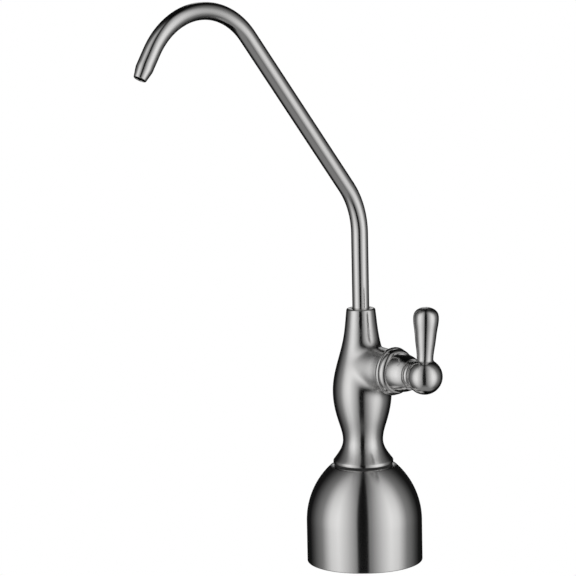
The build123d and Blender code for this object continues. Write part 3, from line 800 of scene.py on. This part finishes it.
def polyline(name: str, points: Sequence[Triple]) -> bpy.types.Object:
    """Makes a mesh object of points joined in order.

    Args:
        name: The object's name.
        points: Places in metres.

    Returns:
        The object, linked to the scene.
    """
    mesh = bpy.data.meshes.new(name)
    mesh.from_pydata(points, [(index, index + 1) for index in range(len(points) - 1)], [])
    return linked(name, mesh)


def as_plain_mesh(source: bpy.types.Object) -> bpy.types.Object:
    """Turns an object with a live modifier into one with a plain mesh.

    Args:
        source: The object, whose modifiers are removed.

    Returns:
        The same object, with the result as its mesh.
    """
    evaluated = source.evaluated_get(bpy.context.evaluated_depsgraph_get())
    mesh = bpy.data.meshes.new_from_object(evaluated)
    source.modifiers.clear()
    old, source.data = source.data, mesh
    bpy.data.meshes.remove(old)
    mesh.name = source.name
    return source


def paint(piece: bpy.types.Object, finish: str) -> None:
    """Gives a piece its material."""
    piece.data.materials.clear()
    piece.data.materials.append(Finishes.get(finish))


def shade(piece: bpy.types.Object) -> None:
    """Shades a piece smooth, apart from its edges."""
    piece.data.shade_smooth()
    piece.data.set_sharp_from_angle(angle=SHARP_ANGLE)


def carried(outline: Sequence[Point]) -> list[Triple]:
    """Adds to each point of an outline its run along it.

    Args:
        outline: Points in millimetres.

    Returns:
        Station, radius and run of each point, in metres.
    """
    run, made, last = 0.0, [], outline[0]
    for point in outline:
        run += math.dist(point, last)
        made.append((point[0] * MM, point[1] * MM, run * MM))
        last = point
    return made


@dataclass(frozen=True)
class Axle:
    """An axis that a piece is turned about."""

    turn: Triple = (0.0, 0.0, 0.0)
    place: Triple = (0.0, 0.0, 0.0)


def formed(
    name: str,
    form: Form,
    outline: Outline,
    finish: str,
    sides: int,
    axle: Axle = Axle(),
    sizes: dict[str, float] | None = None,
    others: dict[str, Any] | None = None,
) -> bpy.types.Object:
    """Makes a piece of an outline.

    Args:
        name: The piece's name.
        form: What is made of the outline.
        outline: The closed outline, as stations along the axis and radii.
        finish: Name of its material.
        sides: How many sides its circles get.
        axle: Where its axis lies.
        sizes: The form's own sizes in millimetres, by the names of the tree's inputs.
        others: What else its tree is given.

    Returns:
        The finished piece, with a plain mesh whose faces point outwards.
    """
    points = carried(outline.finished())
    piece = polyline(name, points)
    modifier = piece.modifiers.new(form.value, "NODES")
    modifier.node_group = TurningTree.tree(form)
    given = {
        "Stations": len(points),
        "Sides": sides,
        "Turn": axle.turn,
        "Place": tuple(value * MM for value in axle.place),
        "Finish": Finishes.get(finish),
        **{key: size * MM for key, size in (sizes or {}).items()},
        **(others or {}),
    }
    for item in modifier.node_group.interface.items_tree:
        if item.in_out == "INPUT" and item.name in given:
            modifier[item.identifier] = given[item.name]
    mesh = as_plain_mesh(piece).data
    work = bmesh.new()
    work.from_mesh(mesh)
    bmesh.ops.recalc_face_normals(work, faces=work.faces)
    work.to_mesh(mesh)
    work.free()
    shade(piece)
    return piece


def smooth_copy(node: str, finish: str) -> bpy.types.Object:
    """Makes a welded, smoothly shaded copy of a CAD node, which it stands for.

    Args:
        node: Name of the CAD node.
        finish: Name of its material.

    Returns:
        The copy.
    """
    piece = linked(f"{node}_dressed", bpy.data.objects[node].data.copy())
    work = bmesh.new()
    work.from_mesh(piece.data)
    bmesh.ops.remove_doubles(work, verts=work.verts, dist=WELD_DISTANCE)
    work.to_mesh(piece.data)
    work.free()
    paint(piece, finish)
    shade(piece)
    return piece


def fit(piece: bpy.types.Object, body: str, slot: Slot, *nodes: str) -> None:
    """Seats a finished piece on its body and hides the nodes that it stands for.

    Args:
        piece: The finished piece.
        body: The CAD body that it rides on.
        slot: The record's slot of its finish; not used.
        nodes: CAD nodes that it replaces.
    """
    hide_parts(*nodes)
    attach(piece, body)
    log.info("%s: %d faces, for %s", piece.name, len(piece.data.polygons), ", ".join(nodes))


# The tap's sizes are in millimetres and degrees, those of finishes and stage in metres.
@dataclass(frozen=True)
class Stack:
    """Heights and stations that several sub-assemblies share, in millimetres."""

    valve_height: float = 95.0
    neck_top: float = 122.8
    port_reach: float = 22.7
    ball_x: float = 42.1


@dataclass
class Base:
    """The spun bell."""

    radius: float = 27.6
    wall: float = 1.2
    height: float = 47.3
    skirt: float = 20.0
    crown_radius: float = 15.84
    rim_lift: float = 0.4
    rim_round: float = 0.5
    top_round: float = 0.8
    crown_drop: float = 0.5
    seat_radius: float = 14.35
    hole_radius: float = 8.05
    sides: int = 144
    outer_steps: int = 40
    inner_steps: int = 24

    def build(self) -> None:
        """Builds the bell."""
        rise = self.height - self.crown_drop - self.skirt
        depth = self.radius - self.crown_radius
        dome = (rise**2 + depth**2) / (2 * depth)
        inner, inner_top = self.radius - self.wall, self.height - self.wall
        inner_dome = dome - self.wall
        inner_sweep = math.asin((inner_top - self.skirt) / inner_dome)
        outline = Outline().to((self.rim_lift, self.radius, self.rim_round))
        outline.to((self.skirt, self.radius))
        outline.bend(0.0, dome, -math.asin(rise / dome), self.outer_steps, self.top_round)
        outline.to((self.height, self.seat_radius), (self.height, self.hole_radius))
        inside = Outline().to((self.skirt, inner))
        inside.bend(0.0, inner_dome, -inner_sweep, self.inner_steps)
        outline.to((inner_top, self.hole_radius), *reversed(inside.points))
        outline.to((self.rim_lift, inner, self.rim_round))
        bell = formed("bell", Form.TURNED, outline, "nickel_upright", self.sides)
        fit(bell, "tap", Slot.NICKEL, "base_bell")


@dataclass
class Shank:
    """The hollow stud under the body, with a thread all along it."""

    radius: float = 5.55
    bore: float = 2.4
    low: float = -52.0
    high: float = 58.1
    socket_length: float = 14.0
    socket_radius: float = 3.25
    lead_in: float = 0.5
    bevel: float = 0.8
    pitch: float = 1.058
    depth: float = 0.55
    rows_per_turn: int = 4
    sides: int = 48

    def build(self) -> None:
        """Builds the threaded shank."""
        rows = math.ceil((self.high - self.low) / self.pitch + 1) * self.rows_per_turn + 1
        step = self.pitch / self.rows_per_turn
        first = self.low - self.pitch
        socket_end = self.low + self.socket_length
        inside = (
            (self.high, self.bore),
            (socket_end, self.bore),
            (socket_end, self.socket_radius),
            (self.low + self.lead_in, self.socket_radius),
            (self.low, self.socket_radius + self.lead_in),
        )
        threads = ((first + row * step, self.radius) for row in range(rows))
        sizes = {
            "Pitch": self.pitch,
            "Depth": self.depth,
            "Low end": self.low,
            "High end": self.high,
            "Bevel": self.bevel,
        }
        numbers = {"First thread": len(inside), "Last thread": len(inside) + rows - 1}
        outline = Outline().to(*inside, *threads)
        shank = formed(
            "shank", Form.THREADED, outline, "plated", self.sides, Axle(), sizes, numbers
        )
        fit(shank, "tap", Slot.PLATED, "threaded_shank")


@dataclass
class SpoutTube:
    """The bent tube with its drawn-down mouth."""

    stack: Stack
    radius: ClassVar[float] = 4.0
    wall: float = 0.8
    foot: float = 113.9
    riser: float = 35.6
    lower_bend: float = 36.8
    lower_angle: float = 38.8
    slope: float = 95.2
    arch: float = 34.7
    arch_angle: float = 109.1
    mouth: float = 8.6
    taper: float = 5.0
    tip_radius: float = 2.95
    tip_round: float = 0.3
    run_steps: tuple[int, ...] = (6, 30, 6, 64, 4)
    sides: int = 64

    def corners(self) -> list[Triple]:
        """Works out the tube's route before it is bent.

        Returns:
            Its ends and the corners where its straight runs would meet, in metres.
        """
        lower, arch = math.radians(self.lower_angle), math.radians(self.arch_angle)
        lower_cut = self.lower_bend * math.tan(lower / 2)
        arch_cut = self.arch * math.tan(arch / 2)
        runs = (
            (self.stack.neck_top + self.riser - self.foot + lower_cut, 0.0),
            (lower_cut + self.slope + arch_cut, lower),
            (arch_cut + self.mouth + self.taper, lower + arch),
        )
        spots = [Vector((0.0, 0.0, self.foot * MM))]
        for length, lean in runs:
            spots.append(spots[-1] + length * MM * Vector((0.0, -math.sin(lean), math.cos(lean))))
        return [tuple(spot) for spot in spots]

    def build(self) -> None:
        """Builds the tube."""
        lower = self.lower_bend * math.radians(self.lower_angle)
        arch = self.arch * math.radians(self.arch_angle)
        riser = self.stack.neck_top + self.riser - self.foot
        lengths = (riser, lower, self.slope, arch, self.mouth)
        stations, run = [0.0], 0.0
        for length, steps in zip(lengths, self.run_steps):
            stations += [run + length * step / steps for step in range(1, steps + 1)]
            run += length
        tip, bore = run + self.taper, self.radius - self.wall
        outline = Outline().to(*((station, self.radius) for station in stations))
        outline.to((tip, self.tip_radius, self.tip_round))
        outline.to((tip, self.tip_radius - self.wall, self.tip_round))
        outline.to(*((station, bore) for station in reversed(stations)))
        sizes = {"Lower bend": self.lower_bend, "Arch": self.arch}
        route = polyline("spout_route", self.corners())
        tube = formed(
            "spout", Form.BENT, outline, "nickel_tube", self.sides, Axle(), sizes, {"Route": route}
        )
        bpy.data.objects.remove(route)
        fit(tube, "spout", Slot.NICKEL, "spout_tube")


@dataclass
class Body:
    """The cast body."""

    finish: str = "nickel_body"

    def build(self) -> None:
        """Dresses the body."""
        fit(smooth_copy("tap_body", self.finish), "tap", Slot.NICKEL, "tap_body")


@dataclass
class Valve:
    """The bonnet over the cartridge."""

    stack: Stack
    port_face: float = 10.8725
    bead_length: float = 2.9
    bead_radius: float = 10.72
    rim: float = 9.6
    rim_round: float = 0.1
    foot: float = 9.2
    waist: float = 8.75
    nose: float = 7.25
    nose_round: float = 0.15
    length: float = 13.6
    collar_length: float = 2.4
    collar_radius: float = 6.4
    collar_root: float = 6.15
    collar_front: float = 5.6
    front_round: float = 0.25
    bore: float = 3.05
    clip_room: Triple = (31.5, 32.4, 4.3)  # start, end and radius
    nose_room: Point = (26.0, 5.45)  # start and radius
    hexagon_room: float = 8.8
    ring_steps: int = 14
    barrel_steps: int = 28
    sides: int = 96

    def build(self) -> None:
        """Builds the bonnet."""
        start = self.stack.port_reach
        end = start + self.length
        rim_x, collar_x = start + self.bead_length, end - self.collar_length
        clip_x, clip_end, clip_radius = self.clip_room
        hexagon_end, nose_radius = self.nose_room
        bead_top = (start + self.bead_length / 2, self.bead_radius)
        collar_top = (collar_x + self.collar_length / 2, self.collar_radius)
        barrel_middle = ((rim_x + collar_x) / 2, self.waist)
        outline = Outline().to((start, self.port_face))
        outline.arc(bead_top, (rim_x, self.rim, self.rim_round), self.ring_steps)
        outline.to((rim_x, self.foot, self.rim_round))
        outline.arc(barrel_middle, (collar_x, self.nose, self.nose_round), self.barrel_steps)
        outline.to((collar_x, self.collar_root))
        outline.arc(collar_top, (end, self.collar_front, self.front_round), self.ring_steps)
        outline.to((end, self.bore), (clip_end, self.bore))
        outline.to((clip_end, clip_radius), (clip_x, clip_radius), (clip_x, nose_radius))
        outline.to((hexagon_end, nose_radius), (hexagon_end, self.hexagon_room))
        outline.to((start, self.hexagon_room))
        axle = Axle((0.0, math.pi / 2, 0.0), (0.0, 0.0, self.stack.valve_height))
        bonnet = formed("bonnet_cover", Form.TURNED, outline, "nickel_valve", self.sides, axle)
        fit(bonnet, "tap", Slot.NICKEL, "bonnet")


@dataclass
class Lever:
    """The ball and the arm that stands on it."""

    stack: Stack
    ball_radius: float = 8.4
    base_radius: float = 3.85
    flare: float = 0.45
    flare_height: float = 1.1
    flare_middle: Point = (0.4, 0.35)  # shares of its height and of its overhang
    stud_end: float = 3.2
    stud_radius: float = 2.0
    # Heights above the valve's axis and radii.
    swell: tuple[Point, ...] = ((15.4, 4.6), (22.0, 5.38), (27.4, 5.97), (30.2, 5.3))
    height: float = 32.6
    lean: float = 3.0
    flare_steps: int = 8
    swell_steps: int = 16
    sides: int = 96

    def arm_outline(self) -> Outline:
        """Draws the arm with its stud.

        Returns:
            Its outline, as heights above the valve's axis and radii.
        """
        foot = self.base_radius + self.flare
        seat = math.sqrt(self.ball_radius**2 - foot**2)
        up, out = self.flare_middle
        middle = (seat + self.flare_height * up, self.base_radius + self.flare * out)
        neck = (seat + self.flare_height, self.base_radius)
        outline = Outline().to((self.stud_end, 0.0), (self.stud_end, self.stud_radius))
        outline.to((seat, self.stud_radius), (seat, foot))
        outline.arc(middle, neck, self.flare_steps)
        places = (neck, *self.swell, (self.height, 0.0))
        return outline.to(*through(places, (1.0, 0.0), (0.0, -1.0), self.swell_steps)[1:])

    def build(self) -> None:
        """Builds the arm and dresses the ball."""
        fit(smooth_copy("lever_ball", "nickel_valve"), "lever", Slot.NICKEL, "lever_ball")
        foot = (self.stack.ball_x, 0.0, self.stack.valve_height)
        axle = Axle((-math.radians(self.lean), 0.0, 0.0), foot)
        outline = self.arm_outline()
        arm = formed("arm", Form.TURNED, outline, "nickel_upright", self.sides, axle)
        fit(arm, "lever", Slot.NICKEL, "lever_arm")


CARRIED_NODES: dict[str, tuple[str, ...]] = {
    "rubber": (
        "deck_gasket", "foot_gasket", "rubber_washer", "cartridge_o_ring", "seat_seal",
        "spindle_o_rings", "spout_o_rings",
    ),
    "stainless": (
        "steel_washer", "lock_washer", "spindle_clip", "lever_grub_screw", "spout_snap_ring",
    ),
    "nylon": ("base_plate", "thrust_washer"),
    "plated": ("lock_nut",),
    "brass_valve": ("cartridge_body", "spindle"),
    "brass_upright": ("spout_ferrule",),
    "ceramic": ("fixed_disc", "moving_disc"),
}


def dress_carried_nodes(nodes: dict[str, bpy.types.Object]) -> None:
    """Gives every CAD node that stays its material.

    Args:
        nodes: The CAD nodes by name.
    """
    for finish, names in CARRIED_NODES.items():
        for name in names:
            paint(nodes[name], finish)
            log.info("%s: carried over in %s", name, finish)


@dataclass
class Studio:
    """Camera, floor and soft light."""

    azimuth: float = 46.28
    elevation: float = 9.54
    distance: float = 1.38561
    roll: float = -0.96
    focal_pixels: float = 2923.51
    frame_pixels: float = 576.0
    aim: Triple = (0.0, 0.0, 0.12)
    aim_pixel: Point = (360.91, 313.79)
    sensor: float = 36.0
    clip: Point = (0.05, 50.0)
    floor_height: float = -0.0535
    floor_radius: float = 0.9
    floor_sides: int = 96
    floor_fade: Point = (0.06, 0.13)
    floor_grey: float = 0.8
    floor_glow: float = 0.72
    card_height: float = -0.0003
    card_reach: Point = (0.02, 0.036)
    card_half_width: float = 0.009
    gap_bearing: float = -3.2
    gap_width: float = 11.4
    brightness: float = 1.15

    # Light by bearing, in shares of half a turn from the camera's side, or by height,
    # in shares of the way from straight down to straight up.
    SIDE_LIGHTS: ClassVar[Stops] = (
        (0.074, 0.25), (0.20, 0.70), (0.30, 1.0), (0.40, 0.85),
        (0.52, 0.26), (0.68, 0.06), (0.76, 0.008),
    )
    SIDE_HEIGHTS: ClassVar[Stops] = (
        (0.0, 0.02), (0.12, 0.2), (0.3, 0.75), (0.45, 1.0), (0.56, 1.0), (0.694, 0.85),
        (0.778, 0.62), (0.861, 0.46), (0.917, 0.24), (0.96, 0.06), (1.0, 0.0),
    )
    GROUND: ClassVar[Stops] = ((0.0, 0.24), (0.16, 0.24), (0.27, 0.0))
    GROUND_REACH: ClassVar[Stops] = ((0.62, 1.0), (0.76, 0.0))
    BACK_LIGHT: ClassVar[Stops] = ((0.955, 0.0), (0.985, 1.0))
    BACK_HEIGHTS: ClassVar[Stops] = ((0.545, 0.0), (0.56, 0.7), (0.66, 0.7), (0.70, 0.0))
    GAP_EDGE: ClassVar[Stops] = ((0.44, 0.02), (0.56, 1.0))

    def camera(self) -> None:
        """Places the camera where the photograph was taken from."""
        azimuth, elevation, roll = map(math.radians, (self.azimuth, self.elevation, self.roll))
        flat = math.cos(elevation)
        back = Vector((math.sin(azimuth) * flat, -math.cos(azimuth) * flat, math.sin(elevation)))
        upright = Vector((0, 0, 1))
        level = (-back).cross(upright).normalized()
        above = level.cross(-back)
        right = level * math.cos(roll) + above * math.sin(roll)
        up = above * math.cos(roll) - level * math.sin(roll)
        half = self.frame_pixels / 2
        aside, down = ((pixel - half) / self.focal_pixels for pixel in self.aim_pixel)
        sight = Vector((aside, -down, 1.0)).normalized()
        swing = upright.rotation_difference(sight).to_matrix()
        axes = swing @ Matrix((right, up, -back))
        turned_axes = Matrix((axes[0], axes[1], -axes[2])).transposed()
        data = bpy.data.cameras.new("camera")
        data.sensor_width = self.sensor
        data.lens = self.focal_pixels / self.frame_pixels * self.sensor
        data.clip_start, data.clip_end = self.clip
        camera = linked("camera", data)
        place = Matrix.Translation(Vector(self.aim) + back * self.distance)
        camera.matrix_world = place @ turned_axes.to_4x4()
        bpy.context.scene.camera = camera

    def light(self) -> None:
        """Lights the tap from both sides with a dark gap between, before a white backdrop."""
        world = bpy.data.worlds.new("studio")
        world.use_nodes = True
        bpy.context.scene.world = world
        tree = NodeTree(world.node_tree)
        x, y, z = tree.split(tree.add("ShaderNodeTexCoord", output="Generated"))
        azimuth = math.radians(self.azimuth)
        ahead = x * math.sin(azimuth) - y * math.cos(azimuth)
        side = x * math.cos(azimuth) + y * math.sin(azimuth)
        bearing = side.math("ARCTAN2", ahead)
        turn = bearing.math("ABSOLUTE") / math.pi
        height = z.math("ARCSINE") / math.pi + 0.5
        from_gap = (bearing - math.radians(self.gap_bearing)).math("ABSOLUTE")
        beside_gap = tree.ramp(from_gap / math.radians(2 * self.gap_width), self.GAP_EDGE)
        sides = tree.ramp(turn, self.SIDE_LIGHTS) * tree.ramp(height, self.SIDE_HEIGHTS)
        behind = tree.ramp(turn, self.BACK_LIGHT) * tree.ramp(height, self.BACK_HEIGHTS)
        ground = tree.ramp(height, self.GROUND) * tree.ramp(turn, self.GROUND_REACH)
        strength = ((sides * beside_gap).math("MAXIMUM", ground) + behind) * self.brightness
        lit = {"Color": WHITE, "Strength": strength}
        studio = tree.add("ShaderNodeBackground", None, lit)
        backdrop = tree.add("ShaderNodeBackground", None, {"Color": WHITE, "Strength": 1.0})
        seen = tree.add("ShaderNodeLightPath", output="Is Camera Ray")
        tree.end(tree.mix(seen, studio, backdrop), "ShaderNodeOutputWorld")

    def floor(self) -> None:
        """Lays a pale floor under the shank that fades into the backdrop."""
        made, tree = new_material("floor")
        place = tree.add("ShaderNodeTexCoord", output="Object")
        reach = tree.vector("LENGTH", place, output="Value")
        near, far = self.floor_fade
        fade = tree.add(
            "ShaderNodeMapRange",
            {"interpolation_type": "SMOOTHSTEP"},
            {"Value": reach, "From Min": near, "From Max": far},
        )
        pale = tree.add("ShaderNodeBsdfDiffuse", None, {"Color": grey(self.floor_grey)})
        lit = tree.add("ShaderNodeAddShader", None, {0: pale, 1: tree.glow(self.floor_glow)})
        self.one_sided(tree, tree.mix(fade, lit, tree.glow()))
        turns = [TURN * k / self.floor_sides for k in range(self.floor_sides)]
        wide, low = self.floor_radius, self.floor_height
        ring = [(math.cos(turn) * wide, math.sin(turn) * wide, low) for turn in turns]
        self.sheet("floor", ring, made).visible_glossy = False

    def card(self) -> None:
        """Lays a small white card in front, which hides the shank from above as the deck does."""
        made, tree = new_material("card")
        self.one_sided(tree, tree.glow())
        azimuth, (near, far) = math.radians(self.azimuth), self.card_reach
        ahead = Vector((math.sin(azimuth), -math.cos(azimuth)))
        beside = Vector((-ahead.y, ahead.x)) * self.card_half_width
        left = (ahead * near - beside, ahead * far - beside)
        right = (ahead * far + beside, ahead * near + beside)
        corners = [(*corner, self.card_height) for corner in (*left, *right)]
        card = self.sheet("card", corners, made)
        card.visible_glossy = card.visible_diffuse = card.visible_shadow = False

    @staticmethod
    def one_sided(tree: NodeTree, above: Wire) -> None:
        """Ends a material that is clear from below.

        Args:
            tree: The material's tree.
            above: The shader that is seen from above.
        """
        below = tree.add("ShaderNodeNewGeometry", output="Backfacing")
        clear = tree.add("ShaderNodeBsdfTransparent", None, {"Color": WHITE})
        tree.end(tree.mix(below, above, clear))

    @staticmethod
    def sheet(
        name: str, corners: Sequence[Triple], material: bpy.types.Material
    ) -> bpy.types.Object:
        """Makes a flat sheet that isn't part of the tap.

        Args:
            name: Its name.
            corners: Its corners in metres, anticlockwise from above.
            material: Its material.

        Returns:
            The sheet.
        """
        mesh = bpy.data.meshes.new(name)
        mesh.from_pydata(corners, [], [tuple(range(len(corners)))])
        mesh.materials.append(material)
        sheet = linked(name, mesh)
        return sheet

    def build(self) -> None:
        """Sets up the whole studio."""
        bpy.context.scene.view_settings.view_transform = "Standard"
        self.camera()
        self.light()
        self.floor()
        self.card()


def main() -> None:
    """Builds the tap's pieces in order and reports each."""
    logging.basicConfig(level=logging.INFO, format="%(name)s: %(message)s")
    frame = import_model()
    stack = Stack()
    Studio().build()
    for part in (Base(), Shank(), Body(), SpoutTube(stack), Valve(stack), Lever(stack)):
        part.build()
    dress_carried_nodes(frame["nodes"])


if __name__ == "__main__":
    main()
